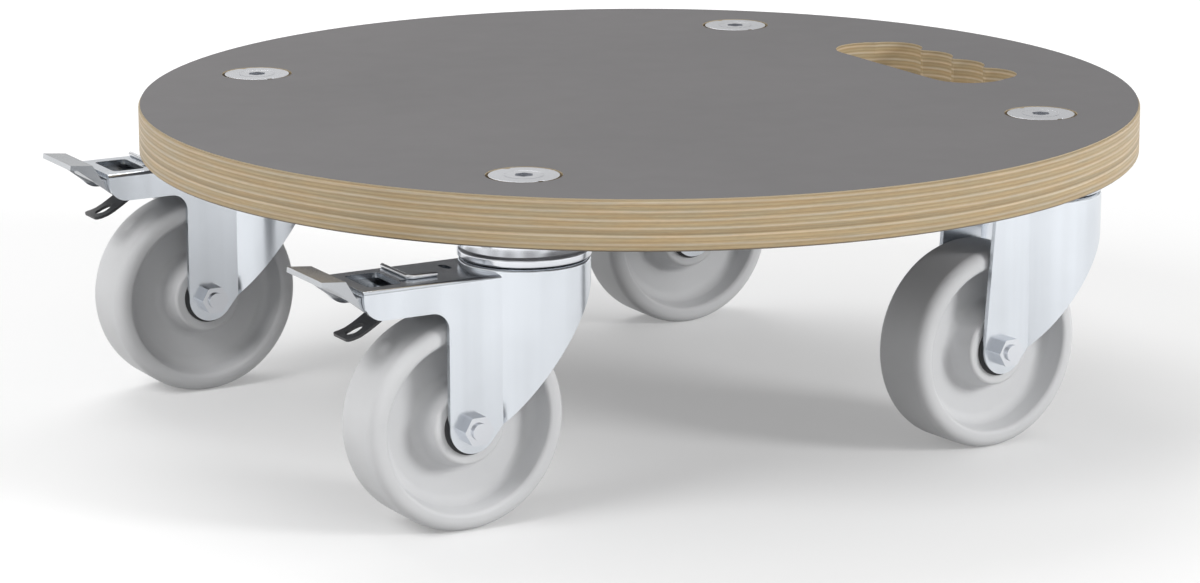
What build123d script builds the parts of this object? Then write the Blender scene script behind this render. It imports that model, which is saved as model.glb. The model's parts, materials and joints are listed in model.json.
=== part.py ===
from build123d import *
import math
import os

# Round plywood dolly for a plant pot: a deck disc on four swivel casters, two of them braked.
# Millimetres. The origin is on the floor under the middle of the deck, +X points to the grip hole
# and +Z is up. Every caster is drawn with its kingpin on the origin and its wheel trailing
# towards -X, and is then set at its own corner of the deck.

# Deck
deck_diameter = 500.0
panel_thickness = 23.4
film_thickness = 0.6
edge_break = 0.8  # chamfer round the panel's rim, which the film stops short of
caster_spacing = 288.0  # kingpin to kingpin, along X and along Y

# Grip hole, with its finger scallops on the rim side
grip_centre_x = 169.5
grip_end_radius = 20.5
grip_length = 128.0
finger_pitch = 29.0
finger_radius = 17.0
finger_reach = 10.0  # how far the finger circles stand out of the slot's centre line

# Fastening discs and the bolts that hold the casters
disc_diameter = 35.0
disc_thickness = 3.5
disc_gap = 0.4  # open ring round a disc in the film and the panel
disc_notch_radius = 1.6
bolt_radius = 6.0
bolt_head_radius = 9.0
bolt_head_height = 3.0
bolt_socket_flats = 8.0
bolt_socket_depth = 2.4
bolt_clearance = 0.3
deck_nut_flats = 18.0
deck_nut_height = 9.0
bolt_end = 2.0  # thread left standing below the nut
corner_trim = 0.56  # radius that a nut's corners are turned to, as a share of its width

# Wheel and its hub
wheel_diameter = 100.0
wheel_width = 34.0
tread_round = 5.5
rim_depth = 9.0  # rim, from the tread to the recess at the wheel's face
rim_draft = 1.6
web_thickness = 8.0
web_fillet = 3.0
hub_radius = 17.5
hub_draft = 2.0
hub_inset = 0.2  # how far the hub's ends stand inside the wheel's faces
bush_radius = 8.5
bush_flange_radius = 13.0
bush_flange = 1.0
bush_spacing = 1.0  # between the two sleeves' inner ends
rim_lip = 1.0
running_gap = 0.05  # radial clearance of a turning fit

# Axle
axle_trail = 37.8  # the axle stands this far behind the kingpin
tube_radius = 6.0
axle_radius = 4.0
axle_slack = 0.1
hex_flats = 13.0
hex_head_height = 5.3
axle_nut_height = 6.0
axle_bolt_end = 1.6

# Fork, pressed from one sheet
sheet = 2.5
fork_inside = 36.0
crown_radius = 30.5
leg_round = 11.8
arm_gap = 6.0  # from the wheel's top to the lower edge of the brake arms
arm_depth = 14.0
arm_reach = 92.0
arm_corner = 10.0
arm_fillet = 8.5
crown_step = 2.5  # the round crown stands this far above the web between the arms
crown_round = 1.6
web_round = 1.8
braked_apron = 6.7  # height of the crown's wall at the very front
plain_apron = 11.5
plain_back_lean = 6.0  # the plain fork's legs lean forward by this much at the top

# Swivel head
dust_gap = 0.5
cap_rim = 3.6
cap_cone = 2.8
cap_neck = 6.6
cap_radius = 31.0
cap_neck_radius = 28.3
upper_ball_radius = 3.0
upper_ball_circle = 21.5
upper_ball_count = 14
lower_ball_radius = 2.5
lower_ball_circle = 17.6
lower_ball_count = 12
groove_depth = 0.6
race_gap = 0.3  # room between the balls and the races that they turn against
race_width = 6.0
kingpin_radius = 10.0
kingpin_flange_radius = 14.5
kingpin_flange = 3.0
kingpin_head_radius = 13.5
kingpin_head = 3.0
crown_bore_radius = 14.0
cup_radius = 21.5
cup_rim = 1.3
cup_rim_gap = 0.6
lock_teeth = 24
lock_ring_radius = 25.0
lock_tooth_depth = 2.0
lock_ring_thickness = 2.4

# Brake
pedal_pin_back = 70.0
pedal_pin_radius = 3.0
pedal_boss = 5.0
plate_pin_back = 46.0
plate_pin_radius = 2.5
ear_radius = 4.8
brake_pin_height = 6.0  # both pins stand this far above the arms' lower edge
cheek_gap = 0.4
cheek_sheet = 2.4
cheek_shoulder = 94.6
tread_width = 36.0
tread_length = 12.0
tread_back = 111.5
tread_rise = 6.4  # the tread's tip stands this far above the arms
tread_tilt = 1.2
pedal_bend = 1.3
bridge_front = 84.0
bridge_drop = 2.6
cam_back = 79.0
cam_gap = 0.3
plate_rise = 2.5  # the brake plate's top stands this far above the arms' lower edge
plate_half_width = 13.5
plate_back = 80.0
nose_front = 21.8
nose_gaps = 4
nose_pitch = 3.2
shoe_back = 61.5
shoe_gap = 1.9
shoe_cut = 30.0
lever_root = 64.0
lever_bend = 69.5
lever_knee = 87.5
lever_back = 94.3
lever_drop = 10.8
lever_bend_radius = 6.0
lever_width = 14.0
lever_sheet = 2.5
lever_hole_back = 89.8
lever_hole_length = 6.0
lever_hole_width = 4.6
spring_back = 63.3
spring_far = 19.0
spring_side = 8.2
spring_hook = 6.6
spring_leg = 10.5
spring_wire_radius = 1.25
spring_hole_radius = 1.8

# Window and slots in the braked fork's web
window_front = 69.0
window_back = 86.0
window_half_width = 13.0
web_slot_back = 37.7
web_slot_side = 6.5
web_slot_length = 9.0
web_slot_width = 4.0

# Name, corner of the deck (+1 or -1 along X and Y), swivel angle and whether the caster is braked
casters = [
    ("front", -1, -1, 0.0, True),
    ("left", -1, 1, 0.0, True),
    ("back", 1, 1, 0.0, False),
    ("right", 1, -1, 5.0, False),
]

# Heights, from the floor up
axle_height = wheel_diameter / 2
arm_bottom = wheel_diameter + arm_gap
web_top = arm_bottom + arm_depth
web_bottom = web_top - sheet
crown_top = web_top + crown_step
crown_bottom = crown_top - sheet
cap_bottom = crown_top + dust_gap
deck_bottom = cap_bottom + cap_rim + cap_cone + cap_neck
panel_top = deck_bottom + panel_thickness
deck_top = panel_top + film_thickness
leg_half = fork_inside / 2 + sheet
upper_ball_height = crown_top - groove_depth + running_gap + upper_ball_radius
lower_ball_height = crown_bottom + groove_depth - running_gap - lower_ball_radius
race_bottom = upper_ball_height + upper_ball_radius + race_gap - groove_depth
cup_top = lower_ball_height - lower_ball_radius - race_gap + groove_depth
cup_bottom = cup_top - sheet
lock_ring_bottom = cup_bottom - lock_ring_thickness
kingpin_bottom = lock_ring_bottom - kingpin_head
deck_nut_bottom = kingpin_bottom - deck_nut_height
wheel_radius = wheel_diameter / 2
brake_pin_z = arm_bottom + brake_pin_height
plate_top = arm_bottom + plate_rise

# Places seen from the side
axle_spot = (-axle_trail, axle_height)
pedal_pin_spot = (-pedal_pin_back, brake_pin_z)
plate_pin_spot = (-plate_pin_back, brake_pin_z)

os.makedirs("parts", exist_ok=True)


def deliver(builder, label, place=Location()):
    """Write one sub-part at its place on the dolly."""
    piece = builder.part.moved(place)
    piece.label = label
    export_step(piece, f"parts/{label}.step")


def corner(side_x, side_y, swivel=0.0):
    """Where a caster's kingpin stands, with the caster turned about it."""
    half = caster_spacing / 2
    return Location((side_x * half, side_y * half, 0), (0, 0, swivel))


def grip_outline():
    """Slot for the hand with four finger scallops on its rim side."""
    with Locations((grip_centre_x, 0)):
        SlotOverall(grip_length, 2 * grip_end_radius, rotation=90)
    with Locations((grip_centre_x + finger_reach, 0)):
        with GridLocations(1, finger_pitch, 1, 4):
            Circle(finger_radius)


def caster_points():
    """Kingpin places on the deck, for the patterns cut in it."""
    return GridLocations(caster_spacing, caster_spacing, 2, 2)


# Deck panel
with BuildPart() as deck_panel:
    with BuildSketch(Plane.XY.offset(deck_bottom)):
        Circle(deck_diameter / 2)
    extrude(amount=panel_thickness)
    chamfer(deck_panel.edges().filter_by(GeomType.CIRCLE), edge_break)
    with BuildSketch(Plane.XY.offset(deck_bottom)):
        grip_outline()
        with caster_points():
            Circle(bolt_radius + bolt_clearance)
    extrude(amount=panel_thickness, mode=Mode.SUBTRACT)
    with BuildSketch(Plane.XY.offset(deck_top - disc_thickness)):
        with caster_points():
            Circle(disc_diameter / 2 + disc_gap)
    extrude(amount=disc_thickness, mode=Mode.SUBTRACT)
deliver(deck_panel, "deck_panel")

# Anti-slip film on top of the panel, cut out over the grip hole and the discs
with BuildPart() as top_film:
    with BuildSketch(Plane.XY.offset(panel_top)):
        Circle(deck_diameter / 2 - edge_break)
    extrude(amount=film_thickness)
    with BuildSketch(Plane.XY.offset(panel_top)):
        grip_outline()
        with caster_points():
            Circle(disc_diameter / 2 + disc_gap)
    extrude(amount=film_thickness, mode=Mode.SUBTRACT)
deliver(top_film, "top_film")

# Fastening discs, with a seat for the bolt's flat head and two notches for the driver
with BuildPart() as fastening_discs:
    with BuildSketch(Plane.XY.offset(deck_top - disc_thickness)):
        with caster_points():
            Circle(disc_diameter / 2)
            with GridLocations(1, disc_diameter, 1, 2):
                Circle(disc_notch_radius, mode=Mode.SUBTRACT)
    extrude(amount=disc_thickness)
    with Locations(Plane.XY.offset(deck_top)):
        with caster_points():
            CounterSinkHole(bolt_radius + bolt_clearance, bolt_head_radius + bolt_clearance, disc_thickness, 90)
deliver(fastening_discs, "fastening_discs")


def turned(*profile):
    """Solid of revolution about the kingpin's axis from a closed outline of radii and heights."""
    with BuildPart() as piece:
        with BuildSketch(Plane.XZ):
            with BuildLine():
                Polyline(*profile, close=True)
            make_face()
        revolve(axis=Axis.Z)
    return piece


def ball_track(ball_circle, ball_height, track_radius):
    """Ring-shaped space that a groove for the balls is cut with."""
    with BuildPart() as track:
        with BuildSketch(Plane.XZ):
            with Locations((ball_circle, ball_height)):
                Circle(track_radius)
        revolve(axis=Axis.Z)
    return track.part


def ball_ring(ball_circle, ball_height, ball_radius, count):
    """One ring of loose balls."""
    with BuildPart() as balls:
        with Locations(Plane.XY.offset(ball_height)):
            with PolarLocations(ball_circle, count):
                Sphere(ball_radius)
    return balls


def hex_nut(flats, bore, height, plane):
    """Plain hexagon nut with its corners turned off."""
    with BuildPart() as nut:
        with BuildSketch(plane):
            RegularPolygon(flats / 2, 6, major_radius=False)
            Circle(flats * corner_trim, mode=Mode.INTERSECT)
            Circle(bore, mode=Mode.SUBTRACT)
        extrude(amount=height)
    return nut


def at_corners(builder, wanted=(True, False)):
    """The same fixed piece at the kingpins of the braked casters, the plain ones or all of them."""
    with BuildPart() as group:
        for name, side_x, side_y, swivel, braked in casters:
            if braked in wanted:
                add(builder.part.moved(corner(side_x, side_y)))
    return group


# Deck bolt: flat head, hex socket, shank down through disc, panel and hollow kingpin
with BuildPart() as deck_bolt:
    add(turned(
        (0, deck_top),
        (bolt_head_radius, deck_top),
        (bolt_radius, deck_top - bolt_head_height),
        (bolt_radius, deck_nut_bottom - bolt_end),
        (0, deck_nut_bottom - bolt_end),
    ).part)
    with BuildSketch(Plane.XY.offset(deck_top)):
        RegularPolygon(bolt_socket_flats / 2, 6, major_radius=False)
    extrude(amount=-bolt_socket_depth, mode=Mode.SUBTRACT)
deliver(at_corners(deck_bolt), "deck_bolts")

deck_nut = hex_nut(deck_nut_flats, bolt_radius + running_gap, deck_nut_height, Plane.XY.offset(deck_nut_bottom))
deliver(at_corners(deck_nut), "deck_nuts")

# Hollow kingpin: a flange inside the cap at the top, a riveted head under the lower race
kingpin_bore = bolt_radius + bolt_clearance
flange_top = deck_bottom - sheet
flange_bottom = flange_top - kingpin_flange
kingpin = turned(
    (kingpin_bore, deck_bottom),
    (kingpin_radius, deck_bottom),
    (kingpin_radius, flange_top),
    (kingpin_flange_radius, flange_top),
    (kingpin_flange_radius, flange_bottom),
    (kingpin_radius, flange_bottom),
    (kingpin_radius, lock_ring_bottom),
    (kingpin_head_radius, lock_ring_bottom),
    (kingpin_head_radius - kingpin_head / 2, kingpin_bottom),
    (kingpin_bore, kingpin_bottom),
)
deliver(at_corners(kingpin), "kingpins")

# Head cap: pressed dish with a neck, a cone and a rim that shields the upper balls
cap_shoulder = cap_bottom + cap_rim
cap_throat = cap_shoulder + cap_cone
head_cap = turned(
    (kingpin_radius, deck_bottom),
    (cap_neck_radius, deck_bottom),
    (cap_neck_radius, cap_throat),
    (cap_radius, cap_shoulder),
    (cap_radius, cap_bottom),
    (cap_radius - sheet, cap_bottom),
    (cap_radius - sheet, cap_shoulder),
    (cap_neck_radius - sheet, cap_throat),
    (cap_neck_radius - sheet, flange_top),
    (kingpin_radius, flange_top),
)

# Ball tracks: the balls ride with the fork, so its grooves fit them closely and the fixed races
# leave them more room
upper_groove = ball_track(upper_ball_circle, upper_ball_height, upper_ball_radius + running_gap)
lower_groove = ball_track(lower_ball_circle, lower_ball_height, lower_ball_radius + running_gap)
upper_race_track = ball_track(upper_ball_circle, upper_ball_height, upper_ball_radius + race_gap)
lower_race_track = ball_track(lower_ball_circle, lower_ball_height, lower_ball_radius + race_gap)

# Upper race ring, hardened, pressed in the cap
race_outer = cap_neck_radius - sheet
with BuildPart() as race_ring:
    add(turned(
        (race_outer - race_width, flange_top),
        (race_outer, flange_top),
        (race_outer, race_bottom),
        (race_outer - race_width, race_bottom),
    ).part)
    add(upper_race_track, mode=Mode.SUBTRACT)
deliver(at_corners(race_ring), "upper_race_rings")

# Lower race cup, pressed on the kingpin under the fork's crown
with BuildPart() as lower_cup:
    add(turned(
        (kingpin_radius, cup_bottom),
        (cup_radius, cup_bottom),
        (cup_radius, crown_bottom - cup_rim_gap),
        (cup_radius - cup_rim, crown_bottom - cup_rim_gap),
        (cup_radius - cup_rim, cup_top),
        (kingpin_radius, cup_top),
    ).part)
    add(lower_race_track, mode=Mode.SUBTRACT)
deliver(at_corners(lower_cup), "lower_race_cups")

# Locking ring with radial teeth on the braked casters, a plain washer on the others
tooth_width = lock_ring_radius * math.pi / lock_teeth
with BuildPart() as locking_ring:
    with BuildSketch(Plane.XY.offset(lock_ring_bottom)):
        Circle(lock_ring_radius)
        Circle(kingpin_radius, mode=Mode.SUBTRACT)
        with PolarLocations(lock_ring_radius, lock_teeth):
            Rectangle(2 * lock_tooth_depth, tooth_width, mode=Mode.SUBTRACT)
    extrude(amount=lock_ring_thickness)
deliver(at_corners(locking_ring, (True,)), "locking_rings")

with BuildPart() as kingpin_washer:
    with BuildSketch(Plane.XY.offset(lock_ring_bottom)):
        Circle(kingpin_head_radius)
        Circle(kingpin_radius, mode=Mode.SUBTRACT)
    extrude(amount=lock_ring_thickness)
deliver(at_corners(kingpin_washer, (False,)), "kingpin_washers")


def make_fork(apron, back_lean, braked):
    """Pressed fork: two flat legs that open into a round crown about the kingpin."""
    low = axle_height - leg_round
    leg_back = -axle_trail - leg_round
    back = -arm_reach if braked else leg_back
    with BuildPart() as fork:
        # outer form: straight legs up to the web, round crown up to the head
        with BuildSketch(Plane.XY.offset(low)):
            with Locations((back, 0)):
                Rectangle(-back, 2 * leg_half, align=(Align.MIN, Align.CENTER))
        extrude(amount=web_top - low)
        with BuildSketch(Plane.XY.offset(low)):
            Circle(crown_radius)
        extrude(amount=crown_top - low)
        with BuildSketch(Plane.XZ) as outline:
            with BuildLine(mode=Mode.PRIVATE) as leg_lines:
                CenterArc((-axle_trail, axle_height), leg_round, 0, 360)
                Polyline(
                    (leg_back + back_lean, crown_top),
                    (crown_radius, crown_top),
                    (crown_radius, crown_top - apron),
                )
            make_hull(leg_lines.edges())
            if braked:
                with Locations((-arm_reach, arm_bottom)):
                    Rectangle(arm_reach, arm_depth, align=(Align.MIN, Align.MIN))
                fillet(outline.vertices().sort_by_distance((leg_back, arm_bottom))[0], arm_fillet)
                fillet(outline.vertices().sort_by_distance((-arm_reach, arm_bottom))[0], arm_corner)
        extrude(amount=crown_radius + 1, both=True, mode=Mode.INTERSECT)
        crown_edge = fork.edges().filter_by(GeomType.CIRCLE).group_by(Axis.Z)[-1]
        fillet(crown_edge, crown_round)
        top_edges = fork.edges().filter_by(Axis.X).filter_by_position(Axis.Z, web_top - 0.01, web_top + 0.01)
        fillet(top_edges, web_round)
        # hollow it from below, which leaves one sheet all round
        with BuildSketch(Plane.XY.offset(low)):
            with Locations((back - sheet, 0)):
                Rectangle(sheet - back, fork_inside, align=(Align.MIN, Align.CENTER))
        extrude(amount=web_bottom - low, mode=Mode.SUBTRACT)
        with BuildSketch(Plane.XY.offset(low)):
            Circle(crown_radius - sheet)
        extrude(amount=crown_bottom - low, mode=Mode.SUBTRACT)
        with BuildSketch(Plane.XY.offset(crown_bottom)):
            Circle(crown_bore_radius)
        extrude(amount=sheet, mode=Mode.SUBTRACT)
        add(upper_groove, mode=Mode.SUBTRACT)
        add(lower_groove, mode=Mode.SUBTRACT)
        # holes for the axle and the brake's two pins
        with BuildSketch(Plane.XZ):
            with Locations(axle_spot):
                Circle(axle_radius + axle_slack)
            if braked:
                with Locations(pedal_pin_spot):
                    Circle(pedal_pin_radius)
                with Locations(plate_pin_spot):
                    Circle(plate_pin_radius)
        extrude(amount=leg_half, both=True, mode=Mode.SUBTRACT)
        if braked:
            with BuildSketch(Plane.XY.offset(web_bottom)):
                with Locations((-(window_front + window_back) / 2, 0)):
                    RectangleRounded(window_back - window_front, 2 * window_half_width, sheet)
                with Locations((-web_slot_back, web_slot_side)):
                    SlotOverall(web_slot_length, web_slot_width, rotation=90)
                with Locations((-spring_back - spring_hook / 2, -spring_side)):
                    Circle(spring_hole_radius)
            extrude(amount=sheet, mode=Mode.SUBTRACT)
    return fork


braked_fork = make_fork(braked_apron, 0, True)
plain_fork = make_fork(plain_apron, plain_back_lean, False)
upper_balls = ball_ring(upper_ball_circle, upper_ball_height, upper_ball_radius, upper_ball_count)
lower_balls = ball_ring(lower_ball_circle, lower_ball_height, lower_ball_radius, lower_ball_count)

# Axle: tube between the legs, hex bolt from the far side, nut on the near side
near_leg = Plane(origin=(-axle_trail, -leg_half, axle_height), x_dir=(1, 0, 0), z_dir=(0, -1, 0))
far_leg = Plane(origin=(-axle_trail, leg_half, axle_height), x_dir=(1, 0, 0), z_dir=(0, 1, 0))
with BuildPart() as axle_tube:
    with BuildSketch(Plane.XZ):
        with Locations(axle_spot):
            Circle(tube_radius)
            Circle(axle_radius + axle_slack, mode=Mode.SUBTRACT)
    extrude(amount=fork_inside / 2, both=True)

with BuildPart() as axle_bolt:
    with BuildSketch(far_leg):
        RegularPolygon(hex_flats / 2, 6, major_radius=False)
        Circle(hex_flats * corner_trim, mode=Mode.INTERSECT)
    extrude(amount=hex_head_height)
    with BuildSketch(far_leg):
        Circle(axle_radius)
    extrude(amount=-(2 * leg_half + axle_nut_height + axle_bolt_end))

axle_nut = hex_nut(hex_flats, axle_radius + running_gap, axle_nut_height, near_leg)

# Wheel: rim, thin web in the middle and a tapered hub, turned about the axle
wheel_plane = Plane(origin=(-axle_trail, 0, axle_height), x_dir=(1, 0, 0), z_dir=(0, 0, 1))
axle_line = Axis((-axle_trail, 0, axle_height), (0, 1, 0))
half_width = wheel_width / 2
hub_half = half_width - hub_inset
recess_radius = wheel_radius - rim_depth
with BuildPart() as wheel:
    with BuildSketch(wheel_plane) as wheel_half:
        with BuildLine():
            Polyline(
                (bush_radius, 0),
                (bush_radius, hub_half),
                (hub_radius, hub_half),
                (hub_radius + hub_draft, web_thickness / 2),
                (recess_radius - rim_draft, web_thickness / 2),
                (recess_radius, half_width),
                (wheel_radius, half_width),
                (wheel_radius, 0),
                close=True,
            )
        make_face()
        fillet(wheel_half.vertices().sort_by_distance((wheel_radius, half_width))[0], tread_round)
        fillet(wheel_half.vertices().sort_by_distance((hub_radius + hub_draft, web_thickness / 2))[0], web_fillet)
        fillet(wheel_half.vertices().sort_by_distance((recess_radius, web_thickness / 2))[0], web_fillet)
        fillet(wheel_half.vertices().sort_by_distance((recess_radius, half_width))[0], rim_lip)
        mirror(about=Plane.XZ)
    revolve(axis=axle_line)

# Two flanged bushes in the hub, dark against the legs
with BuildPart() as wheel_bushes:
    with BuildSketch(wheel_plane):
        with BuildLine():
            Polyline(
                (tube_radius + running_gap, bush_spacing / 2),
                (bush_radius, bush_spacing / 2),
                (bush_radius, hub_half),
                (bush_flange_radius, hub_half),
                (bush_flange_radius, hub_half + bush_flange),
                (tube_radius + running_gap, hub_half + bush_flange),
                close=True,
            )
        make_face()
        mirror(about=Plane.XZ)
    revolve(axis=axle_line)

# Pedal: tread plate, two cheeks between the arms and a bridge under the web that ends in the cam
cheek_outside = fork_inside / 2 - cheek_gap
cheek_inside = cheek_outside - cheek_sheet
cheek_top = web_bottom - cheek_gap
tread_front = tread_back - tread_length
tread_top = web_top + tread_rise
with BuildPart() as pedal:
    with BuildSketch(Plane.XZ):
        with BuildLine():
            Polyline(
                (-tread_back, tread_top),
                (-tread_front, tread_top - tread_tilt),
                (-cheek_shoulder, cheek_top),
                (-pedal_pin_back, cheek_top),
                (-pedal_pin_back, brake_pin_z - pedal_boss),
                (-arm_reach + cheek_sheet, brake_pin_z - cheek_sheet),
                close=True,
            )
        make_face()
        with Locations(pedal_pin_spot):
            Circle(pedal_boss)
    extrude(amount=cheek_outside, both=True)
    with BuildSketch(Plane.XZ):
        Rectangle(4 * arm_reach, 4 * arm_reach)
    extrude(amount=cheek_inside, both=True, mode=Mode.SUBTRACT)
    with BuildSketch(Plane.XZ):
        with BuildLine():
            FilletPolyline(
                (-tread_back, tread_top - sheet / 2),
                (-tread_front, tread_top - tread_tilt - sheet / 2),
                (-cheek_shoulder - sheet / 4, cheek_top - sheet / 2),
                (-bridge_front, cheek_top - bridge_drop),
                (-cam_back, plate_top + cam_gap + sheet / 2),
                radius=pedal_bend,
            )
        trace(line_width=sheet)
        with Locations((-cam_back, plate_top + cam_gap + sheet / 2)):
            Circle(sheet / 2)
    extrude(amount=cheek_inside, both=True)
    with BuildSketch(Plane.XZ):
        with BuildLine():
            Line((-tread_back, tread_top - sheet / 2), (-tread_front, tread_top - tread_tilt - sheet / 2))
        trace(line_width=sheet)
    extrude(amount=tread_width / 2, both=True)
    with BuildSketch(Plane.XZ):
        with Locations(pedal_pin_spot):
            Circle(pedal_pin_radius + running_gap)
    extrude(amount=cheek_outside, both=True, mode=Mode.SUBTRACT)


def cross_pin(spot, radius):
    """Pin through both arms, flush with their outer faces."""
    with BuildPart() as pin:
        with BuildSketch(Plane.XZ):
            with Locations(spot):
                Circle(radius)
        extrude(amount=leg_half, both=True)
    return pin


pedal_pin = cross_pin(pedal_pin_spot, pedal_pin_radius)
plate_pin = cross_pin(plate_pin_spot, plate_pin_radius)

# Brake plate: lies across the fork, with a toothed nose under the locking ring, ears on its pin and
# a shoe over the wheel. The pedal's cam pushes the two tongues at its back down.
plate_middle = plate_top - sheet / 2
with BuildPart() as brake_plate:
    with BuildSketch(Plane.XY.offset(plate_top - sheet)) as plate_plan:
        with Locations((-plate_back, 0)):
            Rectangle(plate_back - nose_front, 2 * plate_half_width, align=(Align.MIN, Align.CENTER))
        with Locations((-plate_pin_back, 0)):
            Rectangle(2 * ear_radius, 2 * cheek_outside)
        with Locations((-lever_root, 0)):
            Rectangle(plate_back, lever_width + 2 * cheek_gap, align=(Align.MAX, Align.CENTER), mode=Mode.SUBTRACT)
        with Locations((-nose_front, 0)):
            with GridLocations(1, 2 * nose_pitch, 1, nose_gaps):
                Rectangle(2 * lock_tooth_depth, nose_pitch, mode=Mode.SUBTRACT)
    extrude(amount=sheet)
    with BuildSketch(Plane.XZ):
        with Locations((-plate_pin_back, plate_top - sheet)):
            Rectangle(2 * ear_radius, brake_pin_z - plate_top + sheet, align=(Align.CENTER, Align.MIN))
        with Locations(plate_pin_spot):
            Circle(ear_radius)
    extrude(amount=cheek_outside, both=True)
    with BuildSketch(Plane.XZ):
        with Locations((-plate_pin_back, plate_top)):
            Rectangle(4 * ear_radius, 4 * ear_radius, align=(Align.CENTER, Align.MIN))
    extrude(amount=cheek_inside, both=True, mode=Mode.SUBTRACT)
    with BuildSketch(Plane.XZ):
        with Locations((-shoe_back, plate_middle)):
            Rectangle(sheet, plate_top - axle_height, align=(Align.CENTER, Align.MAX))
        with Locations(axle_spot):
            Circle(wheel_radius + shoe_gap, mode=Mode.SUBTRACT)
            Rectangle(4 * wheel_radius, 2 * shoe_cut, mode=Mode.SUBTRACT)
    extrude(amount=plate_half_width, both=True)
    with BuildSketch(Plane.XZ):
        with Locations(plate_pin_spot):
            Circle(plate_pin_radius + running_gap)
    extrude(amount=cheek_outside, both=True, mode=Mode.SUBTRACT)

# Release lever: dark strip that leaves the plate in its own plane and bends down past the arms
with BuildPart() as release_lever:
    with BuildSketch(Plane.XZ):
        with BuildLine():
            FilletPolyline(
                (-lever_root, plate_middle),
                (-lever_bend, plate_middle),
                (-lever_knee, plate_middle - lever_drop * 0.87),
                (-lever_back, plate_middle - lever_drop),
                radius=lever_bend_radius,
            )
        trace(line_width=lever_sheet)
    extrude(amount=lever_width / 2, both=True)
    with BuildSketch(Plane.XY.offset(plate_middle - 2 * lever_drop)):
        with Locations((-lever_hole_back, 0)):
            SlotOverall(lever_hole_length, lever_hole_width)
    extrude(amount=2 * lever_drop, mode=Mode.SUBTRACT)

# Return spring: wire that lies across the web, hooks round its hole and runs on to the front
spring_z = web_top + spring_wire_radius
with BuildPart() as brake_spring:
    with BuildLine():
        wire = FilletPolyline(
            (-spring_back, spring_far, spring_z),
            (-spring_back, -spring_side - spring_hook / 2, spring_z),
            (-spring_back + spring_hook, -spring_side - spring_hook / 2, spring_z),
            (-spring_back + spring_hook, -spring_side + spring_hook / 6, spring_z),
            (-spring_back + spring_hook + spring_leg, -spring_side + spring_hook / 6, spring_z),
            radius=[spring_hook * 0.45, spring_hook * 0.3, spring_hook * 0.3],
        )
    with BuildSketch(Plane(origin=wire @ 0, z_dir=wire % 0)):
        Circle(spring_wire_radius)
    sweep()

# Each caster at its own corner of the deck
for name, side_x, side_y, swivel, braked in casters:
    place = corner(side_x, side_y, swivel)
    pieces = {
        "head_cap": head_cap,
        "fork": braked_fork if braked else plain_fork,
        "upper_balls": upper_balls,
        "lower_balls": lower_balls,
        "axle_tube": axle_tube,
        "axle_bolt": axle_bolt,
        "axle_nut": axle_nut,
        "wheel": wheel,
        "wheel_bushes": wheel_bushes,
    }
    if braked:
        pieces["pedal"] = pedal
        pieces["pedal_pin"] = pedal_pin
        pieces["brake_plate"] = brake_plate
        pieces["plate_pin"] = plate_pin
        pieces["release_lever"] = release_lever
        pieces["brake_spring"] = brake_spring
    for node, builder in pieces.items():
        deliver(builder, f"{name}_{node}", place)
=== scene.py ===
import bmesh
import bpy
import json
import math
from mathutils import Matrix, Vector


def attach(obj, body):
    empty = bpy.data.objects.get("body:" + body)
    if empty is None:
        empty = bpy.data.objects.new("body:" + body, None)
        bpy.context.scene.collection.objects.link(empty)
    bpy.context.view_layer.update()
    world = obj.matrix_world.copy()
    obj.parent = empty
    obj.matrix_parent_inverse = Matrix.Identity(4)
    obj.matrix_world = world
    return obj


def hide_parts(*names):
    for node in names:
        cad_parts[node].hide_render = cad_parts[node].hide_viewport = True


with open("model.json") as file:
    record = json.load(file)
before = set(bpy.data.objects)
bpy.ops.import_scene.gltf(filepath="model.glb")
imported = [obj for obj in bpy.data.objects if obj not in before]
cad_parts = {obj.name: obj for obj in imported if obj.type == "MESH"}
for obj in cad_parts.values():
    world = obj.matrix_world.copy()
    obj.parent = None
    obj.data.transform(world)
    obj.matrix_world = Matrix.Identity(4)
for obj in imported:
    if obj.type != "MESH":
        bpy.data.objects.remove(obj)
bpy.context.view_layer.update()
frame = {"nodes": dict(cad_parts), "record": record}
nodes = frame["nodes"]
bpy.ops.object.select_all(action="DESELECT")
scene = bpy.context.scene
casters = ("front", "left", "back", "right")
braked = ("front", "left")
print("frame loaded:", len(nodes), "nodes")

# camera: the photograph's place and lens, worked out from the deck's rim and the four discs
camera = {
    "target": (0.0, 0.0, 0.07),
    "distance": 2.1058,
    "azimuth": -30.03,
    "elevation": 13.32,
    "lens": 124.55,
    "sensorWidth": 36,
    "shift": (-0.0327, -0.0202),
}


def makeCamera():
    data = bpy.data.cameras.new("photoCamera")
    data.lens = camera["lens"]
    data.sensor_width = camera["sensorWidth"]
    data.shift_x, data.shift_y = camera["shift"]
    data.clip_start, data.clip_end = 0.01, 100
    cam = bpy.data.objects.new("photoCamera", data)
    scene.collection.objects.link(cam)
    a, e = math.radians(camera["azimuth"]), math.radians(camera["elevation"])
    back = Vector((math.sin(a) * math.cos(e), -math.cos(a) * math.cos(e), math.sin(e)))
    cam.location = Vector(camera["target"]) + back * camera["distance"]
    cam.rotation_mode = "QUATERNION"
    cam.rotation_quaternion = (-back).to_track_quat("-Z", "Y")
    scene.camera = cam


makeCamera()
scene.view_settings.view_transform = "Standard"

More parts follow.
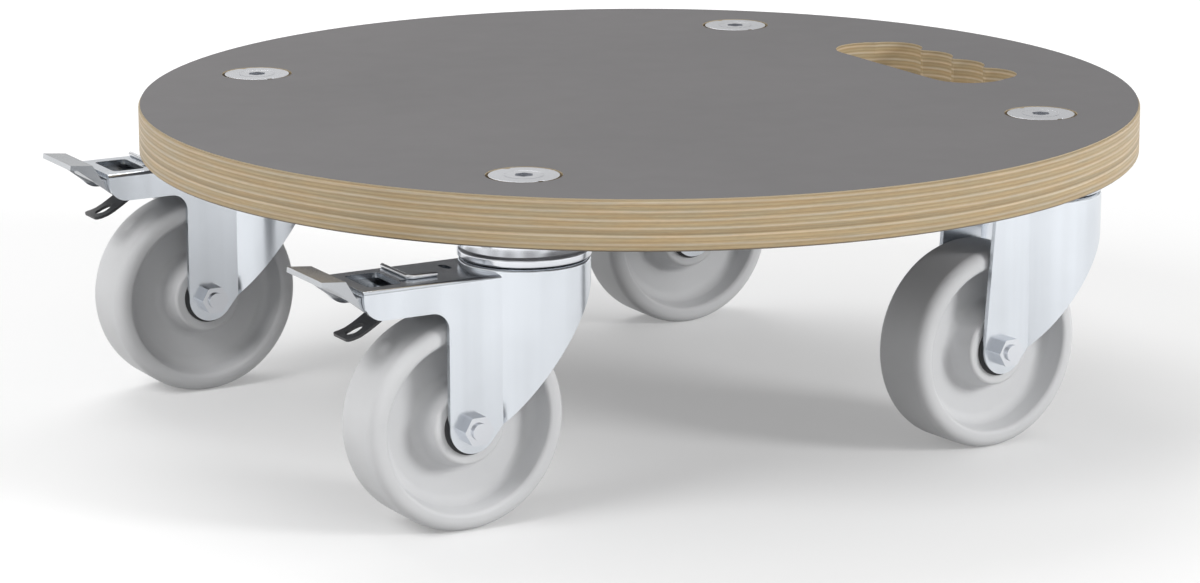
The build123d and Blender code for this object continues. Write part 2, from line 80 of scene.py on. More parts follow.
# studio: a white room for the camera, a slightly banded one for reflections,
# and a softer one for everything else
studio = {
    "roomForShading": 0.46,
    "roomForCamera": 1.0,
    "reflectionDark": 0.55,
    "reflectionLight": 1.0,
    "bandStretch": (1.0, 1.0, 0.3),
    "bandScale": 1.9,
    "bandEdges": (0.38, 0.58),
    "lamps": [
        # name, place, aim, size, watts, seen in reflections
        ("overheadSoftbox", (0.1, 1.6, 2.2), (0, 0, 0), 2.0, 28.0, True),
        ("leftSoftbox", (-1.9, -0.4, 1.6), (0, 0, 0.05), 1.2, 24.0, False),
        ("frontSoftbox", (1.6, -2.4, 1.1), (0, 0, 0.06), 0.9, 48.0, False),
    ],
    "floorSize": 30,
    "floorSeen": (0.7, 0.7, 0.7),
    "floorBounce": (0.5, 0.5, 0.5),
    "floorGlow": (0.26, 0.85),  # near the part, and far from it where the lamps' light falls off
    "floorGlowReach": (0.6, 2.2),
}


def node(tree, kind, at=(0, 0), **values):
    n = tree.nodes.new(kind)
    n.location = at
    for key, value in values.items():
        if key in n.inputs:
            n.inputs[key].default_value = value
        else:
            setattr(n, key, value)
    return n


def seenDirectly(tree):
    path = node(tree, "ShaderNodeLightPath", (-400, 300))
    first = node(tree, "ShaderNodeMath", (-200, 300), operation="MAXIMUM")
    second = node(tree, "ShaderNodeMath", (0, 300), operation="MAXIMUM")
    tree.links.new(path.outputs["Is Camera Ray"], first.inputs[0])
    tree.links.new(path.outputs["Is Glossy Ray"], first.inputs[1])
    tree.links.new(first.outputs[0], second.inputs[0])
    tree.links.new(path.outputs["Is Transmission Ray"], second.inputs[1])
    return second.outputs[0]


def makeStudio():
    world = bpy.data.worlds.new("studioRoom")
    scene.world = world
    world.use_nodes = True
    tree = world.node_tree
    tree.nodes.clear()
    out = node(tree, "ShaderNodeOutputWorld", (800, 0))
    last = node(tree, "ShaderNodeMixShader", (600, 0))
    mix = node(tree, "ShaderNodeMixShader", (400, 0))
    soft = node(tree, "ShaderNodeBackground", (200, 80), Strength=studio["roomForShading"])
    seen = node(tree, "ShaderNodeBackground", (400, -200), Strength=studio["roomForCamera"])
    bands = node(tree, "ShaderNodeBackground", (200, -80), Strength=1.0)
    soft.inputs["Color"].default_value = (1, 1, 1, 1)
    seen.inputs["Color"].default_value = (1, 1, 1, 1)
    # soft upright darker bands, which show only in reflections
    way = node(tree, "ShaderNodeTexCoord", (-1200, -100)).outputs["Generated"]
    flat = node(tree, "ShaderNodeMapping", (-1000, -100), Scale=studio["bandStretch"])
    tree.links.new(way, flat.inputs["Vector"])
    darkEdge, lightEdge = studio["bandEdges"]
    patch = ramp(tree, noise(tree, flat.outputs["Vector"], studio["bandScale"], 1.0), [
        (darkEdge, (studio["reflectionDark"],) * 3), (lightEdge, (studio["reflectionLight"],) * 3)])
    tree.links.new(patch, bands.inputs["Color"])
    path = node(tree, "ShaderNodeLightPath", (0, 400))
    tree.links.new(seenDirectly(tree), mix.inputs[0])
    tree.links.new(soft.outputs[0], mix.inputs[1])
    tree.links.new(bands.outputs[0], mix.inputs[2])
    tree.links.new(path.outputs["Is Camera Ray"], last.inputs[0])
    tree.links.new(mix.outputs[0], last.inputs[1])
    tree.links.new(seen.outputs[0], last.inputs[2])
    tree.links.new(last.outputs[0], out.inputs[0])
    for name, place, aim, size, watts, mirrored in studio["lamps"]:
        data = bpy.data.lights.new(name, "AREA")
        data.shape = "DISK"
        data.size = size
        data.energy = watts
        lamp = bpy.data.objects.new(name, data)
        lamp.location = place
        lamp.rotation_mode = "QUATERNION"
        lamp.rotation_quaternion = (Vector(aim) - Vector(place)).to_track_quat("-Z", "Y")
        lamp.visible_glossy = mirrored
        scene.collection.objects.link(lamp)
    bpy.ops.mesh.primitive_plane_add(size=studio["floorSize"])
    floor = bpy.context.object
    floor.name = "studioFloor"
    floorPaint = bpy.data.materials.new("paleFloor")
    floorPaint.use_nodes = True
    tree = floorPaint.node_tree
    tree.nodes.clear()
    out = node(tree, "ShaderNodeOutputMaterial", (800, 0))
    mix = node(tree, "ShaderNodeMixShader", (600, 0))
    add = node(tree, "ShaderNodeAddShader", (400, 0))
    matt = node(tree, "ShaderNodeBsdfDiffuse", (200, 80))
    matt.inputs["Color"].default_value = (*studio["floorSeen"], 1)
    bounce = node(tree, "ShaderNodeBsdfDiffuse", (200, 240))
    bounce.inputs["Color"].default_value = (*studio["floorBounce"], 1)
    glow = node(tree, "ShaderNodeEmission", (200, -80))
    away = node(tree, "ShaderNodeVectorMath", (-200, -80), operation="LENGTH")
    tree.links.new(node(tree, "ShaderNodeTexCoord", (-400, -80)).outputs["Object"], away.inputs[0])
    reach = node(tree, "ShaderNodeMapRange", (0, -80))
    reach.inputs["From Min"].default_value, reach.inputs["From Max"].default_value = studio["floorGlowReach"]
    reach.inputs["To Min"].default_value, reach.inputs["To Max"].default_value = studio["floorGlow"]
    tree.links.new(away.outputs["Value"], reach.inputs["Value"])
    tree.links.new(reach.outputs["Result"], glow.inputs["Strength"])
    glow.inputs["Color"].default_value = (1, 1, 1, 1)
    tree.links.new(matt.outputs[0], add.inputs[0])
    tree.links.new(glow.outputs[0], add.inputs[1])
    tree.links.new(seenDirectly(tree), mix.inputs[0])
    tree.links.new(bounce.outputs[0], mix.inputs[1])
    tree.links.new(add.outputs[0], mix.inputs[2])
    tree.links.new(mix.outputs[0], out.inputs[0])
    floor.data.materials.append(floorPaint)


# finishes
finishes = {}


def principled(name, colour, roughness, metallic=0.0):
    paint = bpy.data.materials.new(name)
    paint.use_nodes = True
    tree = paint.node_tree
    shader = tree.nodes["Principled BSDF"]
    shader.inputs["Base Color"].default_value = (*colour, 1)
    shader.inputs["Roughness"].default_value = roughness
    shader.inputs["Metallic"].default_value = metallic
    finishes[name] = paint
    return tree, shader


def stretched(tree, scale):
    point = node(tree, "ShaderNodeTexCoord", (-1400, 0))
    mapping = node(tree, "ShaderNodeMapping", (-1200, 0), Scale=scale)
    tree.links.new(point.outputs["Object"], mapping.inputs["Vector"])
    return mapping.outputs["Vector"]


def noise(tree, vector, scale, detail, roughness=0.5):
    n = node(tree, "ShaderNodeTexNoise", (-900, 0), Scale=scale, Detail=detail, Roughness=roughness)
    tree.links.new(vector, n.inputs["Vector"])
    return n.outputs["Fac"]


def ramp(tree, value, stops):
    n = node(tree, "ShaderNodeValToRGB", (-600, 0))
    elements = n.color_ramp.elements
    while len(elements) < len(stops):
        elements.new(0.5)
    for element, (place, colour) in zip(elements, stops):
        element.position = place
        element.color = (*colour, 1)
    tree.links.new(value, n.inputs["Fac"])
    return n.outputs["Color"]


def span(tree, value, low, high):
    n = node(tree, "ShaderNodeMapRange", (-400, 0))
    n.inputs["To Min"].default_value = low
    n.inputs["To Max"].default_value = high
    tree.links.new(value, n.inputs["Value"])
    return n.outputs["Result"]


def blendColours(tree, kind, a, b, factor):
    n = node(tree, "ShaderNodeMix", (-200, 0), data_type="RGBA", blend_type=kind)
    # the sockets of the factor and of the two colours
    for socket, given in ((n.inputs[0], factor), (n.inputs[6], a), (n.inputs[7], b)):
        if isinstance(given, (int, float)):
            socket.default_value = given
        elif isinstance(given, tuple):
            socket.default_value = (*given, 1)
        else:
            tree.links.new(given, socket)
    return n.outputs[2]


def bump(tree, shader, height, strength, distance):
    n = node(tree, "ShaderNodeBump", (-200, -400), Strength=strength, Distance=distance)
    tree.links.new(height, n.inputs["Height"])
    tree.links.new(n.outputs["Normal"], shader.inputs["Normal"])


def maths(tree, kind, a, b=None):
    n = node(tree, "ShaderNodeMath", (-1000, 0), operation=kind)
    for socket, given in zip(n.inputs, (a, b)):
        if given is None:
            continue
        if isinstance(given, (int, float)):
            socket.default_value = given
        else:
            tree.links.new(given, socket)
    return n.outputs[0]


def greyOf(tree, value):
    n = node(tree, "ShaderNodeCombineColor", (-400, 200))
    for channel in ("Red", "Green", "Blue"):
        tree.links.new(value, n.inputs[channel])
    return n.outputs["Color"]


def upwards(tree):
    # how far a face looks up: 1 at the top, 0 at the sides and -1 underneath
    split = node(tree, "ShaderNodeSeparateXYZ", (-600, -300))
    tree.links.new(node(tree, "ShaderNodeNewGeometry", (-800, -300)).outputs["True Normal"], split.inputs[0])
    return split.outputs["Z"]


makeStudio()
print("camera and studio made")

# panel: birch plies along its edge, seen on the rim and in the grip hole
ply = {
    "bottom": 0.136,
    "pair": 0.0038,  # one light and one dark ply
    "stops": [
        (0.0, (0.47, 0.37, 0.225)),
        (0.16, (0.39, 0.295, 0.165)),
        (0.3, (0.475, 0.375, 0.225)),
        (0.62, (0.44, 0.335, 0.19)),
        (0.76, (0.6, 0.5, 0.355)),
        (0.9, (0.6, 0.5, 0.355)),
        (1.0, (0.47, 0.37, 0.225)),
    ],
    # each grain: its scale along x, y and z, then the least and the most of what it gives
    "wobble": ((9, 9, 90), -0.16, 0.16),
    "streak": ((28, 28, 1400), 0.72, 1.22),
    "pores": ((240, 240, 2600), 0.82, 1.14),
    "plyTone": (0.86, 1.1),
    "warmScale": (40, 40, 500),
    "warmStops": [(0.35, (1.05, 0.97, 0.9)), (0.65, (0.97, 1.0, 1.06))],
    "warmShare": 0.8,
    "filmThickness": 0.0006,
    "filmEdge": (0.2, 0.16, 0.12),
    "underside": (0.17, 0.165, 0.167),
    # painted shade on the floors of the disc seats, for the dark ring round each disc
    "seatShade": (0.04, 0.036, 0.033),
    "level": 0.9,  # a face that looks up or down by more than this is level
    "roughness": 0.5,
    "relief": (0.25, 0.0003),
}


def makePly():
    tree, shader = principled("birchPly", (0.5, 0.4, 0.26), ply["roughness"])
    point = node(tree, "ShaderNodeTexCoord", (-1800, 0)).outputs["Object"]
    split = node(tree, "ShaderNodeSeparateXYZ", (-1600, 0))
    tree.links.new(point, split.inputs[0])
    scale, low, high = ply["wobble"]
    wobble = span(tree, noise(tree, stretched(tree, scale), 1.0, 2.0), low, high)
    layer = maths(tree, "DIVIDE", maths(tree, "SUBTRACT", split.outputs["Z"], ply["bottom"]), ply["pair"])
    layer = maths(tree, "ADD", layer, wobble)
    bands = ramp(tree, maths(tree, "FRACT", layer), ply["stops"])
    # every ply has a tone of its own, with fine streaks and pores along it
    number = maths(tree, "FLOOR", maths(tree, "MULTIPLY", layer, 2.0))
    white = node(tree, "ShaderNodeTexWhiteNoise", (-900, 300), noise_dimensions="1D")
    tree.links.new(number, white.inputs["W"])
    tone = span(tree, white.outputs["Value"], *ply["plyTone"])
    scale, low, high = ply["streak"]
    streak = span(tree, noise(tree, stretched(tree, scale), 1.0, 4.0, 0.6), low, high)
    scale, low, high = ply["pores"]
    pores = span(tree, noise(tree, stretched(tree, scale), 1.0, 2.0, 0.6), low, high)
    shade = maths(tree, "MULTIPLY", maths(tree, "MULTIPLY", tone, streak), pores)
    colour = blendColours(tree, "MULTIPLY", bands, greyOf(tree, shade), 1.0)
    warm = ramp(tree, noise(tree, stretched(tree, ply["warmScale"]), 1.0, 2.0), ply["warmStops"])
    colour = blendColours(tree, "MULTIPLY", colour, warm, ply["warmShare"])
    # the underside and its edge have the grey film's colours
    facing = upwards(tree)
    under = maths(tree, "LESS_THAN", facing, -ply["level"])
    edge = maths(tree, "LESS_THAN", split.outputs["Z"], ply["bottom"] + ply["filmThickness"])
    colour = blendColours(tree, "MIX", colour, ply["filmEdge"], edge)
    colour = blendColours(tree, "MIX", colour, ply["underside"], under)
    # the floors of the disc seats are painted dark: a painted shade, so that a dark ring of shade shows
    # round each disc
    shadedSeats = maths(tree, "GREATER_THAN", facing, ply["level"])
    colour = blendColours(tree, "MIX", colour, ply["seatShade"], shadedSeats)
    tree.links.new(colour, shader.inputs["Base Color"])
    bump(tree, shader, pores, *ply["relief"])


# film: matt grey, faintly cloudy, with a fine grain
film = {
    "colour": (0.15, 0.146, 0.148),
    "darkCloud": (0.146, 0.142, 0.144),
    "lightCloud": (0.156, 0.151, 0.153),
    "cloudScale": 7.0,
    "cutEdge": (0.5, 0.41, 0.28),
    "shine": 0.12,
    "roughness": 0.62,
    "roughnessRange": (0.58, 0.68),
    "roughnessScale": 60.0,
    "grainScale": 2600.0,
    "relief": (0.12, 0.0002),
}
cloudEdges = (0.3, 0.7)  # where a cloud turns from its dark colour to its light one


def makeFilm():
    tree, shader = principled("antiSlipFilm", film["colour"], film["roughness"])
    shader.inputs["Specular IOR Level"].default_value = film["shine"]
    point = stretched(tree, (1, 1, 1))
    cloud = ramp(tree, noise(tree, point, film["cloudScale"], 4.0), [
        (cloudEdges[0], film["darkCloud"]), (cloudEdges[1], film["lightCloud"])])
    # the cut edge of the film is as pale as the ply under it
    side = maths(tree, "LESS_THAN", upwards(tree), 0.5)
    tree.links.new(blendColours(tree, "MIX", cloud, film["cutEdge"], side), shader.inputs["Base Color"])
    bump(tree, shader, noise(tree, point, film["grainScale"], 2.0), *film["relief"])
    uneven = span(tree, noise(tree, point, film["roughnessScale"], 3.0), *film["roughnessRange"])
    tree.links.new(uneven, shader.inputs["Roughness"])


# zinc plating: bright metal, a little uneven in tone and gloss
zinc = {
    "dull": 0.93,
    "cloudScale": 24.0,
    "unevenRoughness": (0.85, 1.15),
    "roughnessScale": 40.0,
    "reflectionBandScale": (95, 95, 3),
    "grainScale": 350.0,
    "relief": (0.05, 0.00004),
}


def makeZinc(name, colour, roughness, upright=0.0):
    tree, shader = principled(name, colour, roughness, 1.0)
    point = stretched(tree, (1, 1, 1))
    low, high = (roughness * share for share in zinc["unevenRoughness"])
    uneven = span(tree, noise(tree, point, zinc["roughnessScale"], 2.0), low, high)
    tree.links.new(uneven, shader.inputs["Roughness"])
    dull = tuple(c * zinc["dull"] for c in colour)
    cloud = noise(tree, point, zinc["cloudScale"], 3.0)
    tone = ramp(tree, cloud, [(cloudEdges[0], dull), (cloudEdges[1], colour)])
    if upright:
        # faint upright bands, lighter and darker: a painted reflection of upright bands on the sheet
        reflectionBands = noise(tree, stretched(tree, zinc["reflectionBandScale"]), 1.0, 2.0)
        shade = span(tree, reflectionBands, 1.0 - upright, 1.0 + upright)
        tone = blendColours(tree, "MULTIPLY", tone, greyOf(tree, shade), 1.0)
    tree.links.new(tone, shader.inputs["Base Color"])
    bump(tree, shader, noise(tree, point, zinc["grainScale"], 2.0), *zinc["relief"])


# moulded and coated surfaces: satin, with a fine grain
moulded = {
    "dull": 0.95,
    "cloudScale": 30.0,
    "unevenRoughness": (0.9, 1.12),
    "roughnessScale": 90.0,
    "grainScale": 1500.0,
    "relief": (0.08, 0.0002),
}


def makeMoulded(name, colour, roughness):
    tree, shader = principled(name, colour, roughness)
    point = stretched(tree, (1, 1, 1))
    dull = tuple(c * moulded["dull"] for c in colour)
    cloud = noise(tree, point, moulded["cloudScale"], 3.0)
    tone = ramp(tree, cloud, [(cloudEdges[0], dull), (cloudEdges[1], colour)])
    tree.links.new(tone, shader.inputs["Base Color"])
    low, high = (roughness * share for share in moulded["unevenRoughness"])
    uneven = span(tree, noise(tree, point, moulded["roughnessScale"], 2.0), low, high)
    tree.links.new(uneven, shader.inputs["Roughness"])
    bump(tree, shader, noise(tree, point, moulded["grainScale"], 2.0), *moulded["relief"])


makePly()
makeFilm()
# name, colour, roughness, and how strong the bands of the sheet are
makeZinc("zincSheet", (0.72, 0.755, 0.8), 0.22, 0.13)
makeZinc("zincTurned", (0.74, 0.76, 0.80), 0.17)
makeZinc("zincDisc", (0.66, 0.67, 0.7), 0.26)
# pedals and brake plates: the same zinc painted darker, as painted shade and painted dark reflection from
# under the deck
makeZinc("zincPaintedShade", (0.5, 0.515, 0.535), 0.26)
makeZinc("springSteel", (0.78, 0.79, 0.81), 0.22)
makeZinc("darkSteel", (0.42, 0.43, 0.45), 0.35)
makeMoulded("greyNylon", (0.72, 0.725, 0.735), 0.4)
makeMoulded("darkNylon", (0.03, 0.03, 0.032), 0.5)
makeMoulded("blackCoat", (0.028, 0.028, 0.03), 0.38)

dressing = {
    "deck_panel": "birchPly",
    "top_film": "antiSlipFilm",
    "fastening_discs": "zincDisc",
    "deck_bolts": "zincDisc",
    "deck_nuts": "zincTurned",
    "kingpins": "zincTurned",
    "kingpin_washers": "zincTurned",
    "upper_race_rings": "darkSteel",
    "lower_race_cups": "zincTurned",
    "locking_rings": "darkSteel",
    "head_cap": "zincTurned",
    "fork": "zincSheet",
    "upper_balls": "darkSteel",
    "lower_balls": "darkSteel",
    "axle_tube": "zincTurned",
    "axle_bolt": "zincTurned",
    "axle_nut": "zincTurned",
    "wheel": "greyNylon",
    "wheel_bushes": "darkNylon",
    "pedal": "zincSheet",
    "pedal_pin": "zincSheet",
    "brake_plate": "zincSheet",
    "plate_pin": "zincSheet",
    "release_lever": "blackCoat",
    "brake_spring": "springSteel",
}
for name, thing in nodes.items():
    plain = name if name in dressing else name.split("_", 1)[1]
    thing.data.materials.clear()
    thing.data.materials.append(finishes[dressing[plain]])
print("finishes made")

# where each caster stands and which way its wheel turns
bodyOf = {n: body for body, names in frame["record"]["behaviour"]["bodies"].items() for n in names}
joints = {joint["name"]: joint for joint in frame["record"]["behaviour"]["joints"]}
places = {}
for name in casters:
    turn = joints[name + "_swivel_turn"]["pos_m"]
    across = joints[name + "_wheel_spin"]["axis"]
    angle = math.atan2(-across[0], across[1])
    hub = Vector(joints[name + "_wheel_spin"]["pos_m"])
    places[name] = {"swivel": Vector((turn[0], turn[1], 0)), "hub": hub, "angle": angle}

# modelling: lengths in metres, angles in degrees
shaping = {
    "mergeWithin": 0.000002,
    "near": 0.000005,
    "flatWithin": 0.5,
    "softPressed": 35,  # bends up to this angle are shaded soft on pressed and cut pieces
    "softTurned": 50,  # and on turned and wire ones
    "edgeSteps": 2,
}


def leaveAll():
    if bpy.context.object and bpy.context.object.mode != "OBJECT":
        bpy.ops.object.mode_set(mode="OBJECT")
    bpy.ops.object.select_all(action="DESELECT")


def take(thing):
    leaveAll()
    thing.select_set(True)
    bpy.context.view_layer.objects.active = thing


def pick(thing, test, kind="VERT"):
    # in edit mode: select the corners that pass the test, or the edges whose two ends do
    bpy.ops.mesh.select_mode(type=kind)
    bpy.ops.mesh.select_all(action="DESELECT")
    shape = bmesh.from_edit_mesh(thing.data)
    for part in {"VERT": shape.verts, "EDGE": shape.edges}[kind]:
        ends = [part] if kind == "VERT" else part.verts
        if all(test(end.co) for end in ends):
            part.select = True
    shape.select_flush_mode()
    bmesh.update_edit_mesh(thing.data)


def finishPiece(thing, finish, nodeName, soft):
    # place into the mesh, soft shading, finish and body, and the solid it stands for hidden
    take(thing)
    bpy.ops.object.transform_apply(location=True, rotation=True, scale=True)
    bpy.ops.object.shade_smooth_by_angle(angle=math.radians(soft))
    even = thing.modifiers.new("even", "WEIGHTED_NORMAL")
    even.keep_sharp = True
    bpy.ops.object.modifier_apply(modifier=even.name)
    thing.data.materials.clear()
    thing.data.materials.append(finishes[finish])
    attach(thing, bodyOf[nodeName])
    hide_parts(nodeName)
    leaveAll()


def applyAll(thing):
    take(thing)
    for modifier in list(thing.modifiers):
        bpy.ops.object.modifier_apply(modifier=modifier.name)


def roundEdges(thing, width, sharp):
    # rounds every edge that turns by more than the angle sharp
    edge = thing.modifiers.new("edge", "BEVEL")
    edge.width = width
    edge.segments = shaping["edgeSteps"]
    edge.limit_method = "ANGLE"
    edge.angle_limit = math.radians(sharp)
    applyAll(thing)


def copied(thing, name, place, angle=0.0):
    # own mesh, moved and turned to its caster
    twin = bpy.data.objects.new(name, thing.data.copy())
    scene.collection.objects.link(twin)
    twin.data.transform(Matrix.Translation(place) @ Matrix.Rotation(angle, 4, "Z"))
    return twin


def turned(name, outline, sides):
    # a turned form: a ring is drawn out and resized from one outline point to the next, back to the
    # first, and its edges are rounded after; a point is radius, height, rounding and steps
    leaveAll()
    radius, height = outline[0][:2]
    bpy.ops.mesh.primitive_circle_add(vertices=sides, radius=radius, location=(0, 0, 0))
    thing = bpy.context.object
    thing.name = name
    bpy.ops.object.mode_set(mode="EDIT")
    bpy.ops.mesh.select_all(action="SELECT")
    bpy.ops.transform.translate(value=(0, 0, height))
    last = outline[0]
    for point in outline[1:] + outline[:1]:
        drawn = (0, 0, point[1] - last[1])
        bpy.ops.mesh.extrude_region_move(TRANSFORM_OT_translate={"value": drawn})
        scale = point[0] / last[0]
        bpy.ops.transform.resize(value=(scale, scale, 1), center_override=(0, 0, point[1]))
        last = point
    bpy.ops.mesh.select_all(action="SELECT")
    bpy.ops.mesh.remove_doubles(threshold=shaping["mergeWithin"])
    bpy.ops.mesh.normals_make_consistent(inside=False)
    for radius, height, rounding, steps in outline:
        if not rounding:
            continue

        def onRing(corner):
            off = math.hypot(corner.x, corner.y) - radius
            return abs(corner.z - height) < shaping["near"] and abs(off) < shaping["near"]

        pick(thing, onRing, "EDGE")
        bpy.ops.mesh.bevel(offset=rounding, segments=steps, affect="EDGES")
    bpy.ops.object.mode_set(mode="OBJECT")
    return thing


def mergedCopy(nodeName):
    # a copy of a solid with its corners merged and its flat faces in one piece
    thing = bpy.data.objects.new(nodeName + "_finished", nodes[nodeName].data.copy())
    scene.collection.objects.link(thing)
    take(thing)
    bpy.ops.object.mode_set(mode="EDIT")
    bpy.ops.mesh.select_all(action="SELECT")
    bpy.ops.mesh.remove_doubles(threshold=shaping["mergeWithin"])
    bpy.ops.mesh.dissolve_limited(angle_limit=math.radians(shaping["flatWithin"]))
    bpy.ops.object.mode_set(mode="OBJECT")
    return thing


# wheels: moulded in one piece, recessed on both sides round a hub
wheel = {
    "sides": 112,
    "radius": 0.05,
    "halfWidth": 0.017,
    "treadRound": 0.0055,
    "halfWeb": 0.004,
    # radius and roundness of the recess's lip and floor, and of the hub's foot and end
    "rim": (0.0415, 0.0018),
    "recess": (0.0392, 0.0046),
    "hubFoot": (0.0212, 0.0034),
    "hub": (0.0178, 0.0014),
    "hubHalf": 0.0168,
    "bore": 0.00855,
}


def makeWheels():
    half = [
        (wheel["hub"][0], wheel["hubHalf"], wheel["hub"][1], 4),
        (wheel["hubFoot"][0], wheel["halfWeb"], wheel["hubFoot"][1], 5),
        (wheel["recess"][0], wheel["halfWeb"], wheel["recess"][1], 6),
        (wheel["rim"][0], wheel["halfWidth"], wheel["rim"][1], 4),
        (wheel["radius"], wheel["halfWidth"], wheel["treadRound"], 8),
    ]
    other = [(radius, -height, rounding, steps) for radius, height, rounding, steps in reversed(half)]
    boreEnds = [(wheel["bore"], side * wheel["hubHalf"], 0, 0) for side in (1, -1)]
    outline = boreEnds[:1] + half + other + boreEnds[1:]
    first = turned("wheelPattern", outline, wheel["sides"])
    first.data.transform(Matrix.Rotation(math.pi / 2, 4, "X"))
    for name in casters:
        twin = copied(first, name + "_wheel_moulded", places[name]["hub"], places[name]["angle"])
        finishPiece(twin, "greyNylon", name + "_wheel", shaping["softTurned"])
    bpy.data.objects.remove(first)


# head caps: pressed neck, slightly waisted, with a rounded bead at its foot
cap = {
    "sides": 128,
    "top": 0.136,
    "neck": 0.0294,
    "waist": 0.0291,
    "waistHeight": 0.1315,
    "shoulder": 0.1276,
    "shoulderOut": 0.0301,
    "bead": 0.031,
    "beadTop": 0.1268,
    "bottom": 0.1232,
    "inner": 0.0268,
}


def makeCaps():
    outline = [
        (cap["inner"], cap["top"], 0, 0),
        (cap["neck"], cap["top"], 0, 0),
        (cap["waist"], cap["waistHeight"], 0.002, 4),
        (cap["shoulderOut"], cap["shoulder"], 0.0005, 3),
        (cap["bead"], cap["beadTop"], 0.0008, 4),
        (cap["bead"], cap["bottom"], 0.0009, 4),
        (cap["inner"], cap["bottom"], 0.0002, 1),
    ]
    first = turned("capPattern", outline, cap["sides"])
    for name in casters:
        twin = copied(first, name + "_head_cap_pressed", places[name]["swivel"])
        finishPiece(twin, "zincTurned", name + "_head_cap", shaping["softTurned"])
    bpy.data.objects.remove(first)


# forks and pedals: copies of their solids with rounded edges
# brake plates: copies with a smaller shoe, which the photograph doesn't show below the arm
pressed = {
    "edge": 0.00045,
    "sharp": 40,
    "shoeBack": (0.040, 0.063),
    "shoeTop": 0.1055,
    "shoeNarrow": 0.62,
    "shoeShort": 0.3,
}


def inCaster(name, corner):
    # how far a point lies back from its caster's swivel, and its height
    offset = Matrix.Rotation(-places[name]["angle"], 3, "Z") @ (corner - places[name]["swivel"])
    return -offset.x, offset.z


def makePressings():
    for name in casters:
        fork = mergedCopy(name + "_fork")
        roundEdges(fork, pressed["edge"], pressed["sharp"])
        finishPiece(fork, "zincSheet", name + "_fork", shaping["softPressed"])
    # pedals and brake plates take the darker zinc, a painted shade
    for name in braked:
        pedal = mergedCopy(name + "_pedal")
        roundEdges(pedal, pressed["edge"], pressed["sharp"])
        finishPiece(pedal, "zincPaintedShade", name + "_pedal", shaping["softPressed"])
        plate = mergedCopy(name + "_brake_plate")
        take(plate)
        bpy.ops.object.mode_set(mode="EDIT")

        def inShoe(corner):
            back, height = inCaster(name, corner)
            return pressed["shoeBack"][0] < back < pressed["shoeBack"][1] and height < pressed["shoeTop"]

        pick(plate, inShoe)
        middle = places[name]["swivel"]
        bpy.ops.transform.resize(value=(1, pressed["shoeNarrow"], pressed["shoeShort"]),
                                 center_override=(middle.x, middle.y, pressed["shoeTop"]))
        bpy.ops.object.mode_set(mode="OBJECT")
        finishPiece(plate, "zincPaintedShade", name + "_brake_plate", shaping["softPressed"])


# fastening discs: a little smaller than their seats, with rounded edges
disc = {
    "trim": 0.945,
    "rimBetween": (0.013, 0.03),  # distances from the disc's middle between which only its rim lies
    "edge": 0.0004,
    "sharp": 50,
}


def makeDiscs():
    discs = mergedCopy("fastening_discs")
    take(discs)
    bpy.ops.object.mode_set(mode="EDIT")
    for name in casters:
        middle = places[name]["swivel"]

        def onRim(corner):
            away = (corner.xy - middle.xy).length
            return disc["rimBetween"][0] < away < disc["rimBetween"][1]

        pick(discs, onRim)
        bpy.ops.transform.resize(value=(disc["trim"], disc["trim"], 1), center_override=middle)
    bpy.ops.object.mode_set(mode="OBJECT")
    roundEdges(discs, disc["edge"], disc["sharp"])
    finishPiece(discs, "zincDisc", "fastening_discs", shaping["softPressed"])


# release levers: black strip, bent down behind the arms, with a slot near its end
lever = {
    # back from the swivel and height, along the middle of the strip
    "route": [(0.0640, 0.10725), (0.0690, 0.10725), (0.0712, 0.1068), (0.0735, 0.1055), (0.0800, 0.1013),
              (0.0845, 0.0986), (0.0880, 0.0969), (0.0912, 0.0960), (0.0945, 0.0954)],
    "halfWidth": 0.0079,
    "thickness": 0.0014,
    "cornerRound": 0.0022,
    "cornerSteps": 4,
    "slotBack": 0.0872,
    "slotHalf": (0.0044, 0.0031),
    "cutterHeight": 0.0975,
    "cutterLength": 0.03,
    "cutterSides": 32,
    "edge": 0.0003,
    "sharp": 50,
}


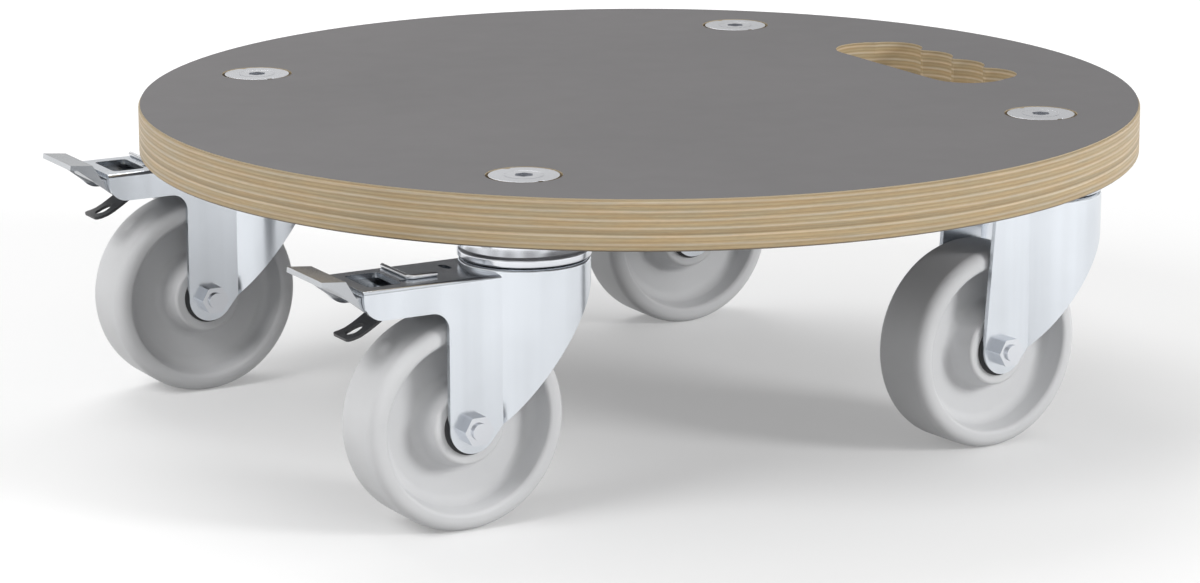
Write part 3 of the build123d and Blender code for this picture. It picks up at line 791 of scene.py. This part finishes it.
def makeLevers():
    leaveAll()
    route = lever["route"]
    bpy.ops.mesh.primitive_plane_add(size=1)
    strip = bpy.context.object
    strip.name = "leverPattern"
    bpy.ops.object.mode_set(mode="EDIT")
    bpy.ops.mesh.select_all(action="SELECT")
    run = route[1][0] - route[0][0]
    bpy.ops.transform.resize(value=(run, 2 * lever["halfWidth"], 1), center_override=(0, 0, 0))
    bpy.ops.transform.translate(value=(-(route[0][0] + route[1][0]) / 2, 0, route[0][1]))
    pick(strip, lambda c: c.x < -route[1][0] + shaping["near"], "EDGE")
    for before, after in zip(route[1:], route[2:]):
        drawn = (before[0] - after[0], 0, after[1] - before[1])
        bpy.ops.mesh.extrude_region_move(TRANSFORM_OT_translate={"value": drawn})
    pick(strip, lambda c: c.x < -route[-1][0] + shaping["near"], "VERT")
    bpy.ops.mesh.bevel(offset=lever["cornerRound"], segments=lever["cornerSteps"], affect="VERTICES")
    bpy.ops.object.mode_set(mode="OBJECT")
    wall = strip.modifiers.new("wall", "SOLIDIFY")
    wall.thickness = lever["thickness"]
    wall.offset = 0
    applyAll(strip)
    bpy.ops.mesh.primitive_cylinder_add(vertices=lever["cutterSides"], radius=1, depth=lever["cutterLength"],
                                        location=(-lever["slotBack"], 0, lever["cutterHeight"]))
    cutter = bpy.context.object
    cutter.scale = (*lever["slotHalf"], 1)
    slot = strip.modifiers.new("slot", "BOOLEAN")
    slot.operation = "DIFFERENCE"
    slot.object = cutter
    applyAll(strip)
    bpy.data.objects.remove(cutter)
    roundEdges(strip, lever["edge"], lever["sharp"])
    for name in braked:
        twin = copied(strip, name + "_release_lever_strip", places[name]["swivel"], places[name]["angle"])
        finishPiece(twin, "blackCoat", name + "_release_lever", shaping["softPressed"])
    bpy.data.objects.remove(strip)


# return springs: wire that lies across the fork's web, with one end bent towards the swivel
spring = {
    "wireRadius": 0.0011,
    "wireSides": 12,
    "bendSteps": 8,
    "start": (-0.0633, 0.019),
    "web": 0.120,
    "acrossRun": 0.0252,
    "bend": 0.0022,
    "legRun": 0.0115,
}


def makeSprings():
    leaveAll()
    height = spring["web"] + spring["wireRadius"]
    bpy.ops.mesh.primitive_circle_add(vertices=spring["wireSides"], radius=spring["wireRadius"],
                                      fill_type="NGON", rotation=(math.pi / 2, 0, 0),
                                      location=(*spring["start"], height))
    wire = bpy.context.object
    wire.name = "springPattern"
    bpy.ops.object.transform_apply(location=True, rotation=True, scale=True)
    bpy.ops.object.mode_set(mode="EDIT")
    bpy.ops.mesh.select_mode(type="FACE")
    bpy.ops.mesh.select_all(action="SELECT")
    bpy.ops.mesh.extrude_region_move(TRANSFORM_OT_translate={"value": (0, -spring["acrossRun"], 0)})
    corner = (spring["start"][0] + spring["bend"], spring["start"][1] - spring["acrossRun"], height)
    bpy.ops.mesh.spin(steps=spring["bendSteps"], angle=-math.pi / 2, center=corner, axis=(0, 0, 1))
    bpy.ops.mesh.extrude_region_move(TRANSFORM_OT_translate={"value": (spring["legRun"], 0, 0)})
    bpy.ops.mesh.select_all(action="SELECT")
    bpy.ops.mesh.remove_doubles(threshold=shaping["mergeWithin"])
    bpy.ops.mesh.normals_make_consistent(inside=False)
    bpy.ops.object.mode_set(mode="OBJECT")
    for name in braked:
        twin = copied(wire, name + "_brake_spring_wire", places[name]["swivel"], places[name]["angle"])
        finishPiece(twin, "springSteel", name + "_brake_spring", shaping["softTurned"])
    bpy.data.objects.remove(wire)


makeWheels()
print("wheels made")
makeCaps()
makePressings()
print("head caps, forks, pedals and brake plates made")
makeDiscs()
makeLevers()
makeSprings()
print("discs, levers and springs made")
